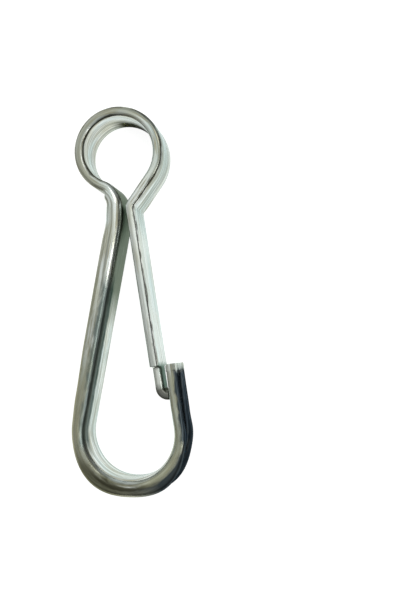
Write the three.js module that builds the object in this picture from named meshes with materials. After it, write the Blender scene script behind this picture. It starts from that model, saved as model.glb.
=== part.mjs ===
// A spring-latch eye hook, bent from one strip of zinc-plated spring steel.
//
// The strip runs from the toe of the latch up the latch, round the eye, down the shank,
// round the bowl and up the nose. The eye and the latch are flat strip. Along the shank,
// the bowl and the nose both edges of the strip are folded outwards, which makes a stiff
// channel whose smooth web faces the load and whose open side faces out.
//
// The hook lies on its side: +Y runs from the bowl to the eye, +X from the shank to the
// nose, and +Z across the strip. The origin is at the bottom centre. Millimetres.

import * as THREE from 'three';

// Strip
const STRIP_WIDTH = 6.5;
const EYE_THICKNESS = 1.55;
const LATCH_THICKNESS = 1.4;
const EDGE_RADIUS = 0.45;

// Channel
const CHANNEL_WALL = 1.0;
const WEB_CORNER_RADIUS = 1.3;
const INNER_CORNER_RADIUS = WEB_CORNER_RADIUS - CHANNEL_WALL;

// Latch end
const TONGUE_WIDTH = 3.1;
const TONGUE_LENGTH = 3.4;

// Headings of the straight stretches, in degrees from +X, as the strip is followed
const NECK_HEADING = 269.6;
const SHANK_HEADING = 259.5;
const NOSE_HEADING = 97.1;
const LATCH_HEADING = 98.8;

// Bends of the strip's inner face, in order from the toe. A turn to the left is positive,
// in degrees, with the radius of the inner face, and a straight stretch has only a length.
const TOE_TIP = 0.1;
const TOE_BEND = { radius: 1.9, turn: LATCH_HEADING - NOSE_HEADING - 90 };
const LATCH_ARM = 24.6;
const LATCH_ROOT_BEND = { radius: 2.0, turn: -44.1 };
const EYE_LEG = 5.03;
const EYE_RIGHT_BEND = { radius: 5.87, turn: 125.3 };
const EYE_LEFT_BEND = { radius: 5.27, turn: 159.2 };
const NECK_BEND = { radius: 4.4, turn: NECK_HEADING - EYE_LEFT_BEND.turn - 180 };
const NECK_STRAIGHT = 1.9;
const SHANK_SET = { radius: 12, turn: SHANK_HEADING - NECK_HEADING };
const SHANK_STRAIGHT = 30.0;
const BOWL_BEND = { radius: 6.9, turn: 360 + NOSE_HEADING - SHANK_HEADING };
const NOSE_STRAIGHT = 9.65;
const LIP_THICKNESS = 1.15;

// Gap left between neighbouring sections, and where the sections part
const GAP = 0.3;
const HINGE_IN_ROOT_BEND = 0.35;
const CHANNEL_START_IN_NECK = 1.1;
const SHANK_END_BEFORE_BOWL = 1.5;

// Finish
const ZINC_COLOUR = 0xbdc1bb;
const FLAT_ROUGHNESS = 0.25;
const FOLDED_ROUGHNESS = 0.32;

// Fineness of the curves
const BEND_STEP = 7.5;
const STRAIGHT_STEP = 6;
const CORNER_STEPS = 3;
const SHORTEST_RUN = 1e-6;

const STEPS = [
  { length: TOE_TIP },
  TOE_BEND,
  { length: TONGUE_LENGTH },
  { length: LATCH_ARM },
  LATCH_ROOT_BEND,
  { length: EYE_LEG },
  EYE_RIGHT_BEND,
  EYE_LEFT_BEND,
  NECK_BEND,
  { length: NECK_STRAIGHT },
  SHANK_SET,
  { length: SHANK_STRAIGHT },
  BOWL_BEND,
  { length: NOSE_STRAIGHT },
];

function stepLength(step) {
  return step.length ?? step.radius * THREE.MathUtils.degToRad(Math.abs(step.turn));
}

// Distance along the strip at which each step starts, and its total length.
function stepStarts() {
  const starts = [0];
  for (const step of STEPS) {
    starts.push(starts.at(-1) + stepLength(step));
  }
  return starts;
}

const STARTS = stepStarts();
const TOE_BEND_END = STARTS[2];
const TONGUE_END = STARTS[3];
const ROOT_BEND_START = STARTS[4];
const NECK_START = STARTS[8];
const SHANK_START = STARTS[10];
const BOWL_START = STARTS[12];
const NOSE_START = STARTS[13];
const STRIP_END = STARTS[14];

const HINGE_AT = ROOT_BEND_START + HINGE_IN_ROOT_BEND;
const CHANNEL_START = NECK_START + CHANNEL_START_IN_NECK;
const BOWL_CUT = BOWL_START - SHANK_END_BEFORE_BOWL;
const LIP_START = STRIP_END - LIP_THICKNESS;

// How far the folded edges reach out from the inner face, along the strip.
const FLANGE_REACH = [
  [CHANNEL_START, 1.7],
  [CHANNEL_START + 1.3, 2.4],
  [SHANK_START, 2.65],
  [SHANK_START + 4, 2.8],
  [BOWL_START - 13, 2.8],
  [BOWL_START - 4, 2.6],
  [BOWL_START + 2, 2.3],
  [BOWL_START + 8, 2.9],
  [BOWL_START + 12, 2.63],
  [BOWL_START + 16, 2.95],
  [BOWL_START + 22, 2.0],
  [NOSE_START + 2, 1.7],
  [STRIP_END, 1.6],
];

function flangeReach(distance) {
  const next = FLANGE_REACH.findIndex(([at]) => at >= distance);
  if (next <= 0) {
    return FLANGE_REACH.at(next)[1];
  }
  const [fromAt, fromReach] = FLANGE_REACH[next - 1];
  const [toAt, toReach] = FLANGE_REACH[next];
  return THREE.MathUtils.mapLinear(distance, fromAt, toAt, fromReach, toReach);
}

// Point, outward direction and heading of the inner face at a distance along the strip.
function stationAt(distance) {
  let heading = THREE.MathUtils.degToRad(NOSE_HEADING + 90);
  const point = new THREE.Vector2(0, 0);
  for (const [index, step] of STEPS.entries()) {
    const run = Math.min(distance - STARTS[index], stepLength(step));
    if (run <= 0) {
      break;
    }
    const turn = step.radius ? (Math.sign(step.turn) * run) / step.radius : 0;
    const chord = step.radius ? 2 * step.radius * Math.sin(Math.abs(turn) / 2) : run;
    point.x += chord * Math.cos(heading + turn / 2);
    point.y += chord * Math.sin(heading + turn / 2);
    heading += turn;
  }
  const outward = new THREE.Vector2(Math.sin(heading), -Math.cos(heading));
  return { distance, point, outward };
}

// Stations from one distance to another, close together round the bends.
function stations(from, to) {
  const distances = [from];
  for (const [index, step] of STEPS.entries()) {
    const start = Math.max(from, STARTS[index]);
    const end = Math.min(to, STARTS[index + 1]);
    if (end - start < SHORTEST_RUN) {
      continue;
    }
    const largest = step.radius ? step.radius * THREE.MathUtils.degToRad(BEND_STEP) : STRAIGHT_STEP;
    const count = Math.ceil((end - start) / largest);
    for (let i = 1; i <= count; i += 1) {
      distances.push(start + ((end - start) * i) / count);
    }
  }
  return distances.map(stationAt);
}

// Points of a rounded corner, from one direction to the next, as (out, across) pairs.
function corner(out, across, radius, fromDegrees, toDegrees) {
  const points = [];
  for (let i = 0; i <= CORNER_STEPS; i += 1) {
    const angle = THREE.MathUtils.degToRad(THREE.MathUtils.lerp(fromDegrees, toDegrees, i / CORNER_STEPS));
    points.push(new THREE.Vector2(out + radius * Math.cos(angle), across + radius * Math.sin(angle)));
  }
  return points;
}

// Flat strip with rounded edges, centred across the strip's width.
function bandSection(thickness, width) {
  const near = (STRIP_WIDTH - width) / 2 + EDGE_RADIUS;
  const far = (STRIP_WIDTH + width) / 2 - EDGE_RADIUS;
  const inner = EDGE_RADIUS;
  const outer = thickness - EDGE_RADIUS;
  return [
    ...corner(outer, near, EDGE_RADIUS, -90, 0),
    ...corner(outer, far, EDGE_RADIUS, 0, 90),
    ...corner(inner, far, EDGE_RADIUS, 90, 180),
    ...corner(inner, near, EDGE_RADIUS, 180, 270),
  ];
}

// Channel open on its outer side, with the web against the inner face.
function channelSection(reach) {
  const bend = WEB_CORNER_RADIUS;
  const cavityLow = CHANNEL_WALL + INNER_CORNER_RADIUS;
  const cavityHigh = STRIP_WIDTH - cavityLow;
  return [
    new THREE.Vector2(reach, 0),
    new THREE.Vector2(reach, CHANNEL_WALL),
    ...corner(bend, cavityLow, INNER_CORNER_RADIUS, 270, 180),
    ...corner(bend, cavityHigh, INNER_CORNER_RADIUS, 180, 90),
    new THREE.Vector2(reach, STRIP_WIDTH - CHANNEL_WALL),
    new THREE.Vector2(reach, STRIP_WIDTH),
    ...corner(bend, STRIP_WIDTH - bend, bend, 90, 180),
    ...corner(bend, bend, bend, 180, 270),
  ];
}

// The end of the strip folded out across the channel, with the same outline filled in.
function lipSection(reach) {
  const bend = WEB_CORNER_RADIUS;
  return [
    new THREE.Vector2(reach, 0),
    new THREE.Vector2(reach, STRIP_WIDTH),
    ...corner(bend, STRIP_WIDTH - bend, bend, 90, 180),
    ...corner(bend, bend, bend, 180, 270),
  ];
}

// A closed solid through the same section at each station.
function sweep(from, to, sectionAt) {
  const rings = stations(from, to).map(({ distance, point, outward }) =>
    sectionAt(distance).map(({ x: out, y: across }) => [
      point.x + out * outward.x,
      point.y + out * outward.y,
      across,
    ]));
  const size = rings[0].length;
  const last = (rings.length - 1) * size;
  const triangles = [];
  for (let ring = 0; ring < rings.length - 1; ring += 1) {
    for (let i = 0; i < size; i += 1) {
      const a = ring * size + i;
      const b = ring * size + ((i + 1) % size);
      triangles.push(a, a + size, b);
      triangles.push(b, a + size, b + size);
    }
  }
  for (const [a, b, c] of THREE.ShapeUtils.triangulateShape(sectionAt(from), [])) {
    triangles.push(a, b, c);
    triangles.push(last + c, last + b, last + a);
  }
  const geometry = new THREE.BufferGeometry();
  geometry.setAttribute('position', new THREE.Float32BufferAttribute(rings.flat(2), 3));
  geometry.setIndex(triangles);
  geometry.computeVertexNormals();
  return geometry;
}

const band = (thickness, width) => () => bandSection(thickness, width);
const channel = (distance) => channelSection(flangeReach(distance));
const lip = (distance) => lipSection(flangeReach(distance));

// Bright zinc plate, a little duller where the strip was folded into a channel.
function zincPlate(roughness) {
  return new THREE.MeshStandardMaterial({ color: ZINC_COLOUR, roughness, metalness: 1 });
}

function section(name, roughness, geometry) {
  const mesh = new THREE.Mesh(geometry, zincPlate(roughness));
  mesh.name = name;
  return mesh;
}

function eyeLoop() {
  const flat = band(EYE_THICKNESS, STRIP_WIDTH);
  return section('eye_loop', FLAT_ROUGHNESS, sweep(HINGE_AT + GAP / 2, CHANNEL_START - GAP, flat));
}

function shankChannel() {
  return section('shank_channel', FOLDED_ROUGHNESS, sweep(CHANNEL_START, BOWL_CUT - GAP, channel));
}

function bowlChannel() {
  return section('bowl_channel', FOLDED_ROUGHNESS, sweep(BOWL_CUT, NOSE_START, channel));
}

function noseChannel() {
  return section('nose_channel', FOLDED_ROUGHNESS, sweep(NOSE_START + GAP, LIP_START - GAP, channel));
}

function noseLip() {
  return section('nose_lip', FOLDED_ROUGHNESS, sweep(LIP_START, STRIP_END, lip));
}

function latchArm() {
  const flat = band(LATCH_THICKNESS, STRIP_WIDTH);
  return section('latch_arm', FLAT_ROUGHNESS, sweep(TONGUE_END, HINGE_AT - GAP / 2, flat));
}

function latchTongue() {
  const flat = band(LATCH_THICKNESS, TONGUE_WIDTH);
  return section('latch_tongue', FLAT_ROUGHNESS, sweep(TOE_BEND_END + GAP, TONGUE_END - GAP, flat));
}

function latchToe() {
  const flat = band(LATCH_THICKNESS, TONGUE_WIDTH);
  return section('latch_toe', FLAT_ROUGHNESS, sweep(0, TOE_BEND_END, flat));
}

function eyeHook() {
  const hook = new THREE.Group();
  hook.add(eyeLoop(), shankChannel(), bowlChannel(), noseChannel(), noseLip());
  hook.add(latchArm(), latchTongue(), latchToe());
  const box = new THREE.Box3().setFromObject(hook);
  const centre = box.getCenter(new THREE.Vector3());
  hook.position.set(-centre.x, -centre.y, -box.min.z);
  return hook;
}

export default eyeHook();
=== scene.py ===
"""A spring-latch eye hook, bent from one strip of zinc-plated steel, lying on a pale table."""

import math

import bpy
import numpy as np
from mathutils import Matrix, Vector


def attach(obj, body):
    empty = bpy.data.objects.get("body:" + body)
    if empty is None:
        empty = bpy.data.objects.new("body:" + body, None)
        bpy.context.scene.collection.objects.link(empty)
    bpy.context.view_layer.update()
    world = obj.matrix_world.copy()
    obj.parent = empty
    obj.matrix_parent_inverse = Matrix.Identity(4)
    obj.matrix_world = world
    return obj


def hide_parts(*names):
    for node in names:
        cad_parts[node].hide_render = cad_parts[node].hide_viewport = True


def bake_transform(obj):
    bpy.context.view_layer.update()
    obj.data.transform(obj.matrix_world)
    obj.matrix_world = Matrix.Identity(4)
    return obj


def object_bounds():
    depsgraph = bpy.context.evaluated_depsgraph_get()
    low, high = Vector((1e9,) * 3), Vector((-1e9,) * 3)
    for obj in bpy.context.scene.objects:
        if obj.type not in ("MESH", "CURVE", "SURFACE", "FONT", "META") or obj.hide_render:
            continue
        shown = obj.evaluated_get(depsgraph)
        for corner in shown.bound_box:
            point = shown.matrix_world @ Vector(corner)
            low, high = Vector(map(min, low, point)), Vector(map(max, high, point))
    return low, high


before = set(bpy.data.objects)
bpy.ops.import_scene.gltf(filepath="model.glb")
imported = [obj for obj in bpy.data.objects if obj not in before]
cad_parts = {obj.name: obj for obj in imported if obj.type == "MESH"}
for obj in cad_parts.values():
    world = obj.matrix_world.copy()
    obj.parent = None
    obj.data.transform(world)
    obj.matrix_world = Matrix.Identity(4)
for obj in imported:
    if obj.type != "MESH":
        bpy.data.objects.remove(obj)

CAD_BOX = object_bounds()
MM = 0.001

# Strip, in millimetres
STRIP_WIDTH = 6.5
EYE_THICKNESS = 1.55
LATCH_THICKNESS = 1.4
TONGUE_WIDTH = 3.1
WEB_THICKNESS = 1.0
FLANGE_WALL = 1.0
BAND_CORNER = 0.55
WEB_CORNER = 1.3
NOSE_CORNER = 0.6
LIP_THICKNESS = 1.15
LIP_REACH = 1.6
LIP_CORNER = 0.3
LIP_TIP = 0.2
LIP_BEND = 0.45
SHOULDER_FILLET = 0.45

# Headings of the straight stretches, in degrees from +X, as the strip is followed
NECK_HEADING = 269.6
SHANK_HEADING = 259.5
NOSE_HEADING = 97.1
LATCH_HEADING = 98.8
EYE_LEFT_TURN = 159.2


def straight(length):
    return length, 0.0


def bend(radius, degrees):
    """Length and turn of a bend of the inner face. A turn to the left is positive."""
    return radius * math.radians(abs(degrees)), math.radians(degrees)


# The strip's inner face, from the toe of the latch to the tip of the nose
STEPS = {
    "toe_tip": straight(0.1),
    "toe_bend": bend(1.9, LATCH_HEADING - NOSE_HEADING - 90),
    "tongue": straight(3.4),
    "latch_arm": straight(24.6),
    "latch_root": bend(2.0, -44.1),
    "eye_leg": straight(5.03),
    "eye_right": bend(5.87, 125.3),
    "eye_left": bend(5.27, EYE_LEFT_TURN),
    "neck": bend(4.4, NECK_HEADING - EYE_LEFT_TURN - 180),
    "neck_straight": straight(1.9),
    "shank_set": bend(12, SHANK_HEADING - NECK_HEADING),
    "shank": straight(30.0),
    "bowl": bend(6.9, 360 + NOSE_HEADING - SHANK_HEADING),
    "nose": straight(9.65),
}
LENGTHS = [length for length, turn in STEPS.values()]
START = dict(zip(STEPS, np.cumsum([0.0] + LENGTHS[:-1])))
STRIP_END = sum(LENGTHS)
CHANNEL_START = START["neck"] + 1.1
LIP_START = STRIP_END - LIP_THICKNESS

# The eye's leg is cut in two here, where the latch's piece begins, and nothing shows
SEAM = START["eye_leg"] + 1.4

# Two distances, measured from the latch's root towards the eye and towards the toe, at which make_latch
# finds points of the strip that nothing uses
FLEX_TOWARDS_EYE = 1.4
FLEX_TOWARDS_TOE = 7

# Sizes that change along the strip, as (distance, value)
FLANGE_REACH = [
    (CHANNEL_START - 0.6, EYE_THICKNESS),
    (CHANNEL_START + 1.3, 2.4),
    (START["shank_set"], 2.65),
    (START["shank_set"] + 4, 2.8),
    (START["bowl"] - 13, 2.8),
    (START["bowl"] - 4, 2.6),
    (START["bowl"] + 2, 2.3),
    (START["bowl"] + 8, 2.9),
    (START["bowl"] + 12, 2.63),
    (START["bowl"] + 16, 2.95),
    (START["bowl"] + 22, 2.0),
    (START["nose"] + 2, 1.7),
    (LIP_START, LIP_REACH),
]
WEB = [(CHANNEL_START - 0.6, EYE_THICKNESS), (CHANNEL_START + 1.3, WEB_THICKNESS)]
CORNER = [
    (CHANNEL_START - 1.5, BAND_CORNER),
    (CHANNEL_START + 2.5, WEB_CORNER),
    (START["nose"] - 3, WEB_CORNER),
    (START["nose"] + 4, NOSE_CORNER),
]
TIP_CORNER = [
    (CHANNEL_START - 0.6, BAND_CORNER),
    (CHANNEL_START + 1.3, 0.6),
    (START["bowl"] - 8, 0.8),
    (START["bowl"] + 4, 1.2),
    (START["bowl"] + 20, 1.1),
    (START["nose"] + 2, 0.3),
]
CROWN = [
    (CHANNEL_START, 0.0),
    (CHANNEL_START + 3, 0.22),
    (START["bowl"] + 2, 0.1),
    (START["bowl"] + 22, 0.1),
    (START["nose"] + 2, 0.06),
]

# Fineness of the mesh
STEP = 0.3
CORNER_SIDES = 8
TIP_SIDES = 7
FACE_SIDES = 5
FLAT_SIDES = 3
TIP_ROUNDING = 0.15
GROOVE_ROUNDING = 0.3
GROOVE_DRAFT = 0.05
END_ROUNDING = 0.12
END_RINGS = (0.1, 0.3, 0.6)
LIP_SIDES = 6
FILLET_SIDES = 5
SHORTEST_FACE = 0.01
MARK_SPACE = 0.02

# The channel stays this far inside the CAD model's box
SKIN = 0.01


def value_at(distance, knots):
    """Smooth change from one knot's value to the next's, and level past the ends."""
    places = [place for place, value in knots]
    after = int(np.searchsorted(places, distance))
    if after == 0:
        return knots[0][1]
    if after == len(knots):
        return knots[-1][1]
    (low, a), (high, b) = knots[after - 1], knots[after]
    t = (distance - low) / (high - low)
    return a + (b - a) * t * t * (3 - 2 * t)


def station(distance):
    """Point and outward direction of the strip's inner face."""
    heading = math.radians(NOSE_HEADING + 90)
    point = np.zeros(2)
    for name, (length, turn) in STEPS.items():
        run = min(distance - START[name], length)
        if run <= 0:
            break
        part = turn * run / length
        chord = run * np.sinc(part / 2 / math.pi)
        point += chord * np.array([math.cos(heading + part / 2), math.sin(heading + part / 2)])
        heading += part
    return point, np.array([math.sin(heading), -math.cos(heading)])


def hook_section(distance):
    """Sizes of the strip from the eye to the nose: flat, then a channel, then the solid lip."""
    size = {
        "width": STRIP_WIDTH,
        "reach": value_at(distance, FLANGE_REACH) - SKIN,
        "web": value_at(distance, WEB),
        "corner": value_at(distance, CORNER),
        "tip": value_at(distance, TIP_CORNER),
        "crown": value_at(distance, CROWN),
        "inner": 0.0,
    }
    if distance > LIP_START:
        size.update(reach=LIP_REACH, web=LIP_REACH, corner=LIP_CORNER, tip=LIP_TIP, crown=0.0)
    if distance > STRIP_END - LIP_BEND:
        past = distance - (STRIP_END - LIP_BEND)
        size["inner"] = LIP_BEND - math.sqrt(max(LIP_BEND**2 - past**2, 0.0))
    return size


def latch_section(distance):
    """Sizes of the flat strip from the toe, past the shoulder, to the eye's leg."""
    thickness = value_at(distance, [(START["latch_root"], LATCH_THICKNESS), (SEAM, EYE_THICKNESS)])
    shoulder = START["latch_arm"]
    fillet = SHOULDER_FILLET
    width = STRIP_WIDTH
    if distance < shoulder:
        into = max(distance - (shoulder - fillet), 0.0)
        width = TONGUE_WIDTH + 2 * (fillet - math.sqrt(max(fillet**2 - into**2, 0.0)))
    return {
        "width": width,
        "reach": thickness,
        "web": thickness,
        "corner": BAND_CORNER,
        "tip": BAND_CORNER,
        "crown": 0.0,
        "inner": 0.0,
    }


def quarter(steps):
    """Angles of a quarter turn, without its first end."""
    return np.linspace(0, math.pi / 2, steps + 1)[1:]


def edge_outline(size):
    """From the middle of the inner face, round one edge, to the middle of the outer face.

    Points are (out, in from the edge).
    """
    reach, web, corner, tip = (size[k] for k in ("reach", "web", "corner", "tip"))
    middle = size["width"] / 2
    groove = (reach - web) / 2
    points = [(0.0, a) for a in np.linspace(middle, corner, FLAT_SIDES + 1)]
    points += [(corner * (1 - math.cos(u)), corner * (1 - math.sin(u))) for u in quarter(CORNER_SIDES)]
    fall = size["crown"] / (reach - corner) ** 2 if reach > corner else 0.0
    face_end = max(reach - tip, corner + SHORTEST_FACE)
    for out in np.linspace(corner, face_end, FACE_SIDES + 1)[1:]:
        points.append((out, fall * (out - corner) ** 2))
    low = points[-1][1]
    tip = reach - face_end
    drop = min(tip, FLANGE_WALL - TIP_ROUNDING - low)
    points += [(face_end + tip * math.sin(u), low + drop * (1 - math.cos(u))) for u in quarter(TIP_SIDES)]
    top = min(TIP_ROUNDING, groove)
    for u in np.linspace(0, math.pi / 2, TIP_SIDES + 1):
        points.append((reach - top * (1 - math.cos(u)), FLANGE_WALL - TIP_ROUNDING * (1 - math.sin(u))))
    foot = min(GROOVE_ROUNDING, groove)
    side = FLANGE_WALL + GROOVE_DRAFT
    for u in np.linspace(0, math.pi / 2, TIP_SIDES + 1):
        points.append((web + foot * (1 - math.sin(u)), side + GROOVE_ROUNDING * (1 - math.cos(u))))
    points += [(web, a) for a in np.linspace(side + GROOVE_ROUNDING, middle, FLAT_SIDES + 1)[1:]]
    return points


def section_outline(size):
    """The whole section as (out, across), counter-clockwise with outward to the right."""
    half = edge_outline(size)
    squeeze = (size["reach"] - size["inner"]) / size["reach"]
    near = (STRIP_WIDTH - size["width"]) / 2
    ring = [(out, near + a) for out, a in half]
    ring += [(out, STRIP_WIDTH - near - a) for out, a in half[-2:0:-1]]
    return np.array([(size["inner"] + out * squeeze, across) for out, across in ring])


def inset(ring, depth):
    """The section with every point moved towards its middle, for a softened end."""
    middle = (ring.min(0) + ring.max(0)) / 2
    offset = middle - ring
    length = np.linalg.norm(offset, axis=1, keepdims=True)
    return ring + offset * np.minimum(depth / np.maximum(length, 1e-6), 0.9)


def distances(start, end, marks=()):
    """Even steps along the strip, with extra rings at each mark and close round it."""
    count = math.ceil((end - start) / STEP)
    found = set(np.linspace(start, end, count + 1))
    for mark in marks:
        found |= {mark - MARK_SPACE, mark + MARK_SPACE}
    return sorted(found)


def strip_offset():
    """What brings the bent strip to the frame's place: both have the same box."""
    outer = []
    for distance in distances(0, STRIP_END):
        point, outward = station(distance)
        size = hook_section(distance) if distance > SEAM else latch_section(distance)
        outer += [point, point + outward * size["reach"]]
    outer = np.array(outer)
    low, high = CAD_BOX
    centre = np.array([low.x + high.x, low.y + high.y]) / 2 / MM
    return centre - (outer.min(0) + outer.max(0)) / 2


OFFSET = strip_offset()


def strip_point(distance, out=0.0, across=STRIP_WIDTH / 2):
    """A point of the strip, in metres, in the frame."""
    point, outward = station(distance)
    x, y = point + outward * out + OFFSET
    return Vector((x, y, across)) * MM


def sweep(name, stops, section_at, soft_ends):
    """A closed mesh along the strip, which remembers where on the strip each point lies."""
    places, unrolled = [], []
    first, last = stops[0], stops[-1]
    for distance in stops:
        ring = section_outline(section_at(distance))
        for end, soft in zip((first, last), soft_ends):
            near = abs(distance - end)
            if soft and near < END_ROUNDING:
                ring = inset(ring, END_ROUNDING * (1 - math.sqrt(1 - (1 - near / END_ROUNDING) ** 2)))
        point, outward = station(distance)
        for out, across in ring:
            x, y = point + outward * out + OFFSET
            places.append((x * MM, y * MM, across * MM))
            unrolled.append((distance, out, across))
    sides = len(places) // len(stops)
    faces = []
    for ring in range(len(stops) - 1):
        for i in range(sides):
            a, b = ring * sides + i, ring * sides + (i + 1) % sides
            faces.append((a, a + sides, b + sides, b))
    faces.append(tuple(range(sides)))
    faces.append(tuple(range(len(places) - 1, len(places) - 1 - sides, -1)))
    mesh = bpy.data.meshes.new(name)
    mesh.from_pydata(places, [], faces)
    smooth = np.ones(len(faces), bool)
    smooth[-2:] = False
    mesh.polygons.foreach_set("use_smooth", smooth)
    mark_cap_edges(mesh, sides, len(places))
    where = mesh.attributes.new("strip", "FLOAT_VECTOR", "POINT")
    where.data.foreach_set("vector", np.array(unrolled, np.float32).ravel())
    piece = bpy.data.objects.new(name, mesh)
    bpy.context.scene.collection.objects.link(piece)
    return piece


def mark_cap_edges(mesh, sides, count):
    """The end faces meet the strip at sharp edges."""
    ends = np.zeros(len(mesh.edges) * 2, np.int32)
    mesh.edges.foreach_get("vertices", ends)
    ends = ends.reshape(-1, 2)
    at_start = (ends < sides).all(1)
    at_end = (ends >= count - sides).all(1)
    sharp = mesh.attributes.new("sharp_edge", "BOOLEAN", "EDGE")
    sharp.data.foreach_set("value", at_start | at_end)


# Materials

# Roughness under the patches of painted shade and painted dark reflection
PAINTED_SHADE_ROUGHNESS = 0.3
RAGGEDNESS = 0.6
HOOK_WEAR = 0.8
LATCH_WEAR = 0.35
FLOOR_GLOW = 0.88


def add_node(tree, kind, inputs, **settings):
    """A shader node with its inputs set to values or linked to sockets."""
    made = tree.nodes.new(kind)
    for name, value in settings.items():
        setattr(made, name, value)
    for name, value in inputs.items():
        if isinstance(value, bpy.types.NodeSocket):
            tree.links.new(value, made.inputs[name])
        else:
            made.inputs[name].default_value = value
    return made


def new_material(name):
    material = bpy.data.materials.new(name)
    material.use_nodes = True
    material.node_tree.nodes.clear()
    return material, material.node_tree


def finish_material(tree, shader):
    add_node(tree, "ShaderNodeOutputMaterial", {"Surface": shader.outputs[0]})


def strip_noise(tree, stretch, detail, roughness=0.55):
    """Noise in the flat strip's own millimetres, so that it follows every bend."""
    where = add_node(tree, "ShaderNodeAttribute", {}, attribute_name="strip")
    scaled = add_node(
        tree, "ShaderNodeVectorMath", {0: where.outputs["Vector"], 1: stretch}, operation="MULTIPLY"
    )
    noise = add_node(
        tree,
        "ShaderNodeTexNoise",
        {"Vector": scaled.outputs[0], "Scale": 1.0, "Detail": detail, "Roughness": roughness},
    )
    return noise.outputs[0]


def ramp(tree, factor, low, high, low_value=0.0, high_value=1.0):
    """Maps factor from low..high to low_value..high_value, level outside."""
    node = add_node(
        tree,
        "ShaderNodeMapRange",
        {
            "Value": factor,
            "From Min": low,
            "From Max": high,
            "To Min": low_value,
            "To Max": high_value,
        },
    )
    return node.outputs[0]


def mix_colour(tree, factor, a, b):
    node = tree.nodes.new("ShaderNodeMix")
    node.data_type = "RGBA"
    colours = [s for s in node.inputs if s.type == "RGBA"]
    for socket, value in zip([node.inputs[0], *colours], (factor, a, b)):
        if isinstance(value, bpy.types.NodeSocket):
            tree.links.new(value, socket)
        else:
            socket.default_value = value
    return next(s for s in node.outputs if s.type == "RGBA")


def multiply(tree, a, b):
    return add_node(tree, "ShaderNodeMath", {0: a, 1: b}, operation="MULTIPLY").outputs[0]


def within(tree, value, start, end, soft):
    """1 between start and end, falling to 0 over the soft distance at both."""
    rise = ramp(tree, value, start - soft, start + soft)
    fall = ramp(tree, value, end - soft, end + soft, 1.0, 0.0)
    return multiply(tree, rise, fall)


def add_painted_shade(tree, colour, sheen, rough, painted_shade_patches):
    """Painted shade and painted dark reflections, in patches laid out on the strip with ragged edges, which
    also make the surface duller.
    """
    where = add_node(tree, "ShaderNodeAttribute", {}, attribute_name="strip")
    ragged = ramp(tree, strip_noise(tree, (0.5, 1.6, 1.6), 3), 0.0, 1.0, -RAGGEDNESS, RAGGEDNESS)
    moved = add_node(
        tree, "ShaderNodeVectorMath", {0: where.outputs["Vector"], 1: ragged}, operation="ADD"
    )
    place = add_node(tree, "ShaderNodeSeparateXYZ", {0: moved.outputs[0]})
    dull = (PAINTED_SHADE_ROUGHNESS, PAINTED_SHADE_ROUGHNESS, PAINTED_SHADE_ROUGHNESS, 1)
    for tint, strength, along, out, across in painted_shade_patches:
        painted_shade_mask = within(tree, place.outputs["X"], *along)
        painted_shade_mask = multiply(tree, painted_shade_mask, within(tree, place.outputs["Y"], *out))
        painted_shade_mask = multiply(tree, painted_shade_mask, within(tree, place.outputs["Z"], *across))
        painted_shade_mask = multiply(tree, painted_shade_mask, strength)
        # Painted shade and painted dark reflection darken the colour and the sheen here
        colour = mix_colour(tree, painted_shade_mask, colour, (*tint, 1))
        sheen = mix_colour(tree, painted_shade_mask, sheen, (*tint, 1))
        rough = mix_colour(tree, painted_shade_mask, rough, dull)
    return colour, sheen, rough


def zinc_plate(name, painted_shade_patches):
    """Bright zinc plate: drawn streaks along the strip, faint olive and blue passivation, fine pits, and
    patches of painted shade and painted dark reflection.

    The hook is more worn than the latch, and the wear changes smoothly between the two.
    """
    material, tree = new_material(name)
    where = add_node(tree, "ShaderNodeAttribute", {}, attribute_name="strip")
    along = add_node(tree, "ShaderNodeSeparateXYZ", {0: where.outputs["Vector"]}).outputs["X"]
    wear = ramp(tree, along, START["latch_root"] - 6, SEAM, LATCH_WEAR, HOOK_WEAR)
    streaks = strip_noise(tree, (0.07, 2.2, 2.2), 4)
    clouds = strip_noise(tree, (0.16, 0.5, 0.5), 3)
    drift = strip_noise(tree, (0.11, 0.35, 0.35), 2)
    stains = strip_noise(tree, (0.2, 3.4, 3.4), 4, 0.6)
    scratches = strip_noise(tree, (0.35, 11.0, 11.0), 3, 0.7)
    pits = strip_noise(tree, (9.0, 9.0, 9.0), 3, 0.6)

    plain = (0.74, 0.77, 0.75, 1)
    olive = (0.55, 0.55, 0.43, 1)
    blue = (0.56, 0.66, 0.66, 1)
    drawn = (0.2, 0.21, 0.17, 1)
    brown = (0.3, 0.28, 0.19, 1)
    colour = mix_colour(tree, ramp(tree, clouds, 0.42, 0.68, 0, wear), plain, olive)
    colour = mix_colour(tree, ramp(tree, drift, 0.48, 0.7, 0, wear), colour, blue)
    colour = mix_colour(tree, ramp(tree, streaks, 0.42, 0.62, 0, wear), colour, drawn)
    colour = mix_colour(tree, ramp(tree, stains, 0.5, 0.62, 0, wear), colour, brown)
    sheen = mix_colour(tree, ramp(tree, drift, 0.4, 0.7), (0.86, 0.93, 0.91, 1), (0.78, 0.9, 0.9, 1))
    rough = ramp(tree, streaks, 0.3, 0.75, 0.11, 0.23)
    # Patches of painted shade and painted dark reflection over the plating
    colour, sheen, rough = add_painted_shade(tree, colour, sheen, rough, painted_shade_patches)

    wavy = add_node(tree, "ShaderNodeBump", {"Strength": 0.4, "Distance": 0.0002, "Height": clouds})
    coarse = add_node(
        tree,
        "ShaderNodeBump",
        {"Strength": 0.35, "Distance": 0.00012, "Height": streaks, "Normal": wavy.outputs[0]},
    )
    fine = add_node(
        tree,
        "ShaderNodeBump",
        {"Strength": 0.25, "Distance": 0.00003, "Height": scratches, "Normal": coarse.outputs[0]},
    )
    pitted = add_node(
        tree,
        "ShaderNodeBump",
        {"Strength": 0.15, "Distance": 0.00002, "Height": pits, "Normal": fine.outputs[0]},
    )
    shader = add_node(
        tree,
        "ShaderNodeBsdfPrincipled",
        {
            "Base Color": colour,
            "Specular Tint": sheen,
            "Metallic": 1.0,
            "Roughness": rough,
            "Normal": pitted.outputs[0],
        },
    )
    finish_material(tree, shader)
    return material


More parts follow.
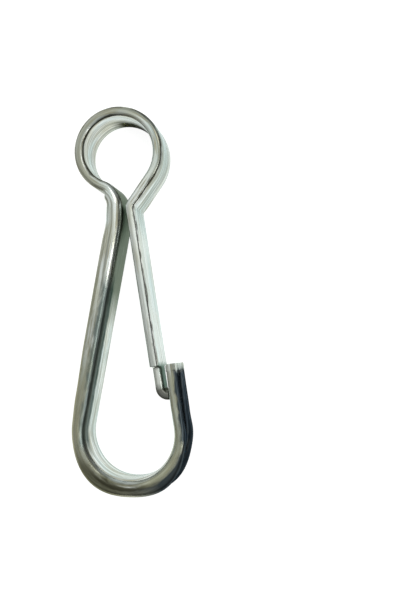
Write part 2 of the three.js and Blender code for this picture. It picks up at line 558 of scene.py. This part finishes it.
def paper():
    """The pale table top, with the faint tooth of paper."""
    material, tree = new_material("paper")
    place = add_node(tree, "ShaderNodeTexCoord", {})
    tooth = add_node(
        tree, "ShaderNodeTexNoise", {"Vector": place.outputs["Object"], "Scale": 900.0, "Detail": 3.0}
    )
    colour = mix_colour(tree, tooth.outputs[0], (0.4, 0.405, 0.405, 1), (0.43, 0.43, 0.43, 1))
    shader = add_node(
        tree,
        "ShaderNodeBsdfPrincipled",
        {
            "Base Color": colour,
            "Roughness": 0.9,
            "Emission Color": (1, 1, 1, 1),
            "Emission Strength": FLOOR_GLOW,
        },
    )
    finish_material(tree, shader)
    return material


def plain_light(name, colour, strength):
    material, tree = new_material(name)
    shader = add_node(tree, "ShaderNodeEmission", {"Color": (*colour, 1), "Strength": strength})
    finish_material(tree, shader)
    return material


# Studio, in metres

FLOOR_SIZE = 6.0
BACKDROP_RADIUS = 2.9
BACKDROP_HEIGHT = 3.0
BACKDROP_SIDES = 48

# Darkest and brightest of the room's ceiling and walls
CEILING_LIGHT = (0.5, 1.05)
WALL_LIGHT = (0.09, 0.65)

# Name, side, place and strength
SOFTBOXES = [
    ("softbox_right", 0.14, (0.3, -0.065, 0.46), 5.0),
    ("softbox_beyond", 0.16, (0.15, 0.26, 0.46), 3.0),
]


def stage_object(name, corners, faces, material):
    mesh = bpy.data.meshes.new(name)
    mesh.from_pydata(corners, [], faces)
    mesh.materials.append(material)
    made = bpy.data.objects.new(name, mesh)
    bpy.context.scene.collection.objects.link(made)
    return made


def make_floor():
    half = FLOOR_SIZE / 2
    corners = [(-half, -half, 0), (half, -half, 0), (half, half, 0), (-half, half, 0)]
    stage_object("floor", corners, [(0, 1, 2, 3)], paper())


def make_backdrop():
    """A pale wall all round, far off, which only the camera sees."""
    corners = []
    for level in (0.0, BACKDROP_HEIGHT):
        for i in range(BACKDROP_SIDES):
            angle = 2 * math.pi * i / BACKDROP_SIDES
            corners.append((BACKDROP_RADIUS * math.cos(angle), BACKDROP_RADIUS * math.sin(angle), level))
    faces = []
    for i in range(BACKDROP_SIDES):
        after = (i + 1) % BACKDROP_SIDES
        faces.append((i, after, BACKDROP_SIDES + after, BACKDROP_SIDES + i))
    wall = stage_object("backdrop", corners, faces, plain_light("backdrop", (1, 1, 1), 1.0))
    wall.visible_glossy = False
    wall.visible_diffuse = False
    wall.visible_shadow = False


def make_softbox(name, size, location, strength):
    """A square light that faces the hook."""
    half = size / 2
    corners = [(-half, -half, 0), (half, -half, 0), (half, half, 0), (-half, half, 0)]
    box = stage_object(name, corners, [(0, 3, 2, 1)], plain_light(name, (1, 1, 1), strength))
    box.location = location
    box.rotation_euler = Vector(location).to_track_quat("Z", "Y").to_euler()
    box.visible_camera = False


def facing(tree, direction, towards):
    """How far a direction points towards another."""
    made = add_node(tree, "ShaderNodeVectorMath", {0: direction, 1: towards}, operation="DOT_PRODUCT")
    return made.outputs["Value"]


def make_world():
    """A dim room under a bright ceiling, which is brightest beyond the eye."""
    world = bpy.data.worlds.new("studio")
    world.use_nodes = True
    tree = world.node_tree
    tree.nodes.clear()
    direction = add_node(tree, "ShaderNodeTexCoord", {}).outputs["Generated"]
    height = add_node(tree, "ShaderNodeSeparateXYZ", {0: direction}).outputs["Z"]
    beyond = facing(tree, direction, (0.4, 1.0, 0.0))
    behind = facing(tree, direction, (-0.7, 0.7, 0.0))
    ceiling = ramp(tree, beyond, -0.35, 0.2, *CEILING_LIGHT)
    walls = ramp(tree, behind, -0.3, 0.8, *WALL_LIGHT)
    grey = add_node(
        tree,
        "ShaderNodeMapRange",
        {"Value": height, "From Min": 0.4, "From Max": 0.82, "To Min": walls, "To Max": ceiling},
        interpolation_type="SMOOTHSTEP",
    )
    sky = add_node(
        tree, "ShaderNodeBackground", {"Color": (0.97, 1.0, 0.98, 1), "Strength": grey.outputs[0]}
    )
    add_node(tree, "ShaderNodeOutputWorld", {"Surface": sky.outputs[0]})
    bpy.context.scene.world = world


# Camera: above the hook, a little to the nose's side and towards the bowl
CAMERA_PLACE = Vector((0.03014, -0.00786, 0.1092))
CAMERA_AIM = Vector((-0.17924, 0.06901, -0.98138))
CAMERA_ROLL = 0.41
CAMERA_LENS = 41.93
SENSOR = 36.0
NEAREST_SEEN = 0.005


def make_camera():
    """The photograph's view. Its top points along +Y, but for a small roll."""
    aim = CAMERA_AIM.normalized()
    right = aim.cross(Vector((0, 1, 0))).normalized()
    up = right.cross(aim)
    turn = Matrix.Rotation(math.radians(CAMERA_ROLL), 3, aim)
    right, up = turn @ right, turn @ up
    data = bpy.data.cameras.new("camera")
    data.lens = CAMERA_LENS
    data.sensor_width = SENSOR
    data.clip_start = NEAREST_SEEN
    camera = bpy.data.objects.new("camera", data)
    bpy.context.scene.collection.objects.link(camera)
    axes = Matrix((right, up, -aim)).transposed().to_4x4()
    camera.matrix_world = Matrix.Translation(CAMERA_PLACE) @ axes
    bpy.context.scene.camera = camera


# Patches of painted shade and painted dark reflection: tint, strength, then where they lie along, out and
# across the strip, each as (from, to, softness) in millimetres
FAR = 300
ALL = (-FAR, FAR, 1)
INNER_FACE = (-FAR, 0.4, 0.25)
OUTER_EDGE = (EYE_THICKNESS - 0.25, FAR, 0.12)
NEAR_EDGE = (STRIP_WIDTH - 0.4, FAR, 0.15)
OLIVE_BLACK = (0.05, 0.048, 0.03)
BLUE_BLACK = (0.036, 0.051, 0.064)
GREEN_BLACK = (0.10, 0.13, 0.12)
# Painted shade and painted dark reflections on the hook: inside the eye, along the band's edges, at the
# neck, on the web's corner, round the bowl's outer rim and in the nose's groove
HOOK_PAINTED_SHADE = [
    (OLIVE_BLACK, 0.85, (START["eye_left"] - 7, START["eye_left"] + 1, 1), INNER_FACE, (-FAR, 3.2, 0.8)),
    (OLIVE_BLACK, 0.8, (-FAR, START["neck"] + 1, 0.5), OUTER_EDGE, NEAR_EDGE),
    (OLIVE_BLACK, 0.8, (START["eye_left"], START["neck"] + 1, 0.5), (-FAR, 0.25, 0.12), NEAR_EDGE),
    ((0.3, 0.3, 0.23), 0.6, (START["eye_left"] + 3, START["neck"] + 1, 2), (0.5, FAR, 0.3), ALL),
    ((0.27, 0.31, 0.26), 0.9, (START["neck"] - 1, START["shank"] + 12, 3), INNER_FACE, (-FAR, 6, 0.3)),
    ((0.3, 0.3, 0.22), 0.7, (START["shank"], START["bowl"] + 3, 2), (2.1, FAR, 0.3), (4, FAR, 0.5)),
    (GREEN_BLACK, 0.88, (START["shank"] + 7.5, START["bowl"] + 4, 1.5), (-FAR, 1.3, 0.25), (4.7, FAR, 0.4)),
    ((0.36, 0.35, 0.24), 0.7, (START["shank"] + 20, START["nose"], 4), (1.0, FAR, 0.3), (4, FAR, 0.5)),
    ((0.16, 0.16, 0.10), 0.75, (START["bowl"] + 4, START["bowl"] + 11, 1.5), (0.4, FAR, 0.3), (4, FAR, 0.5)),
    (OLIVE_BLACK, 0.93, (START["bowl"] + 6, START["bowl"] + 16, 2), (0.8, 1.8, 0.25), (4, FAR, 0.4)),
    (BLUE_BLACK, 0.93, (START["bowl"] + 14, START["nose"] + 1, 2), (1.5, FAR, 0.25), ALL),
    ((0.4, 0.4, 0.27), 0.6, (START["bowl"] + 14, LIP_START, 1), (0.2, 1.3, 0.3), (6, FAR, 0.3)),
    (BLUE_BLACK, 0.93, (START["nose"] - 2, LIP_START, 0.3), (1.05, FAR, 0.15), ALL),
    (BLUE_BLACK, 0.9, (START["bowl"] + 14, LIP_START, 1), (0.5, FAR, 0.2), (0.7, 5.8, 0.2)),
]
# Painted shade and painted dark reflections on the latch: at the toe, on the tongue's side under the nose,
# and along the band's edge
LATCH_PAINTED_SHADE = [
    (OLIVE_BLACK, 0.8, (-FAR, START["tongue"] + 0.2, 0.5), ALL, ALL),
    ((0.25, 0.33, 0.29), 0.85, (START["tongue"], START["latch_arm"] + 0.3, 0.4), (1.15, FAR, 0.1), ALL),
    (OLIVE_BLACK, 0.8, (START["latch_arm"], FAR, 0.5), OUTER_EDGE, NEAR_EDGE),
]


def make_hook():
    stops = distances(SEAM, STRIP_END, (LIP_START,))
    stops += [STRIP_END - LIP_BEND + LIP_BEND * math.sin(u) for u in quarter(LIP_SIDES)[:-1]]
    stops += [STRIP_END - END_ROUNDING * t for t in END_RINGS]
    hook = sweep("hook_strip", sorted(stops), hook_section, (False, True))
    hook.data.materials.append(zinc_plate("zinc_hook", HOOK_PAINTED_SHADE))
    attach(hook, "hook")
    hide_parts("eye_loop", "shank_channel", "bowl_channel", "nose_channel", "nose_lip")


def make_latch():
    shoulder = START["latch_arm"]
    stops = distances(0, SEAM, (shoulder,))
    stops += [shoulder - SHOULDER_FILLET + SHOULDER_FILLET * math.sin(u) for u in quarter(FILLET_SIDES)[:-1]]
    stops += [END_ROUNDING * t for t in END_RINGS]
    latch = sweep("latch_blade", sorted(stops), latch_section, (True, False))
    latch.data.materials.append(zinc_plate("zinc_latch", LATCH_PAINTED_SHADE))
    root = START["latch_root"]
    start = strip_point(root + FLEX_TOWARDS_EYE)
    end = strip_point(root - FLEX_TOWARDS_TOE)
    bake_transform(latch)
    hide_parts("latch_arm", "latch_tongue", "latch_toe")


bpy.context.scene.view_settings.view_transform = "Standard"
make_camera()
make_world()
make_floor()
make_backdrop()
for softbox in SOFTBOXES:
    make_softbox(*softbox)
make_hook()
make_latch()
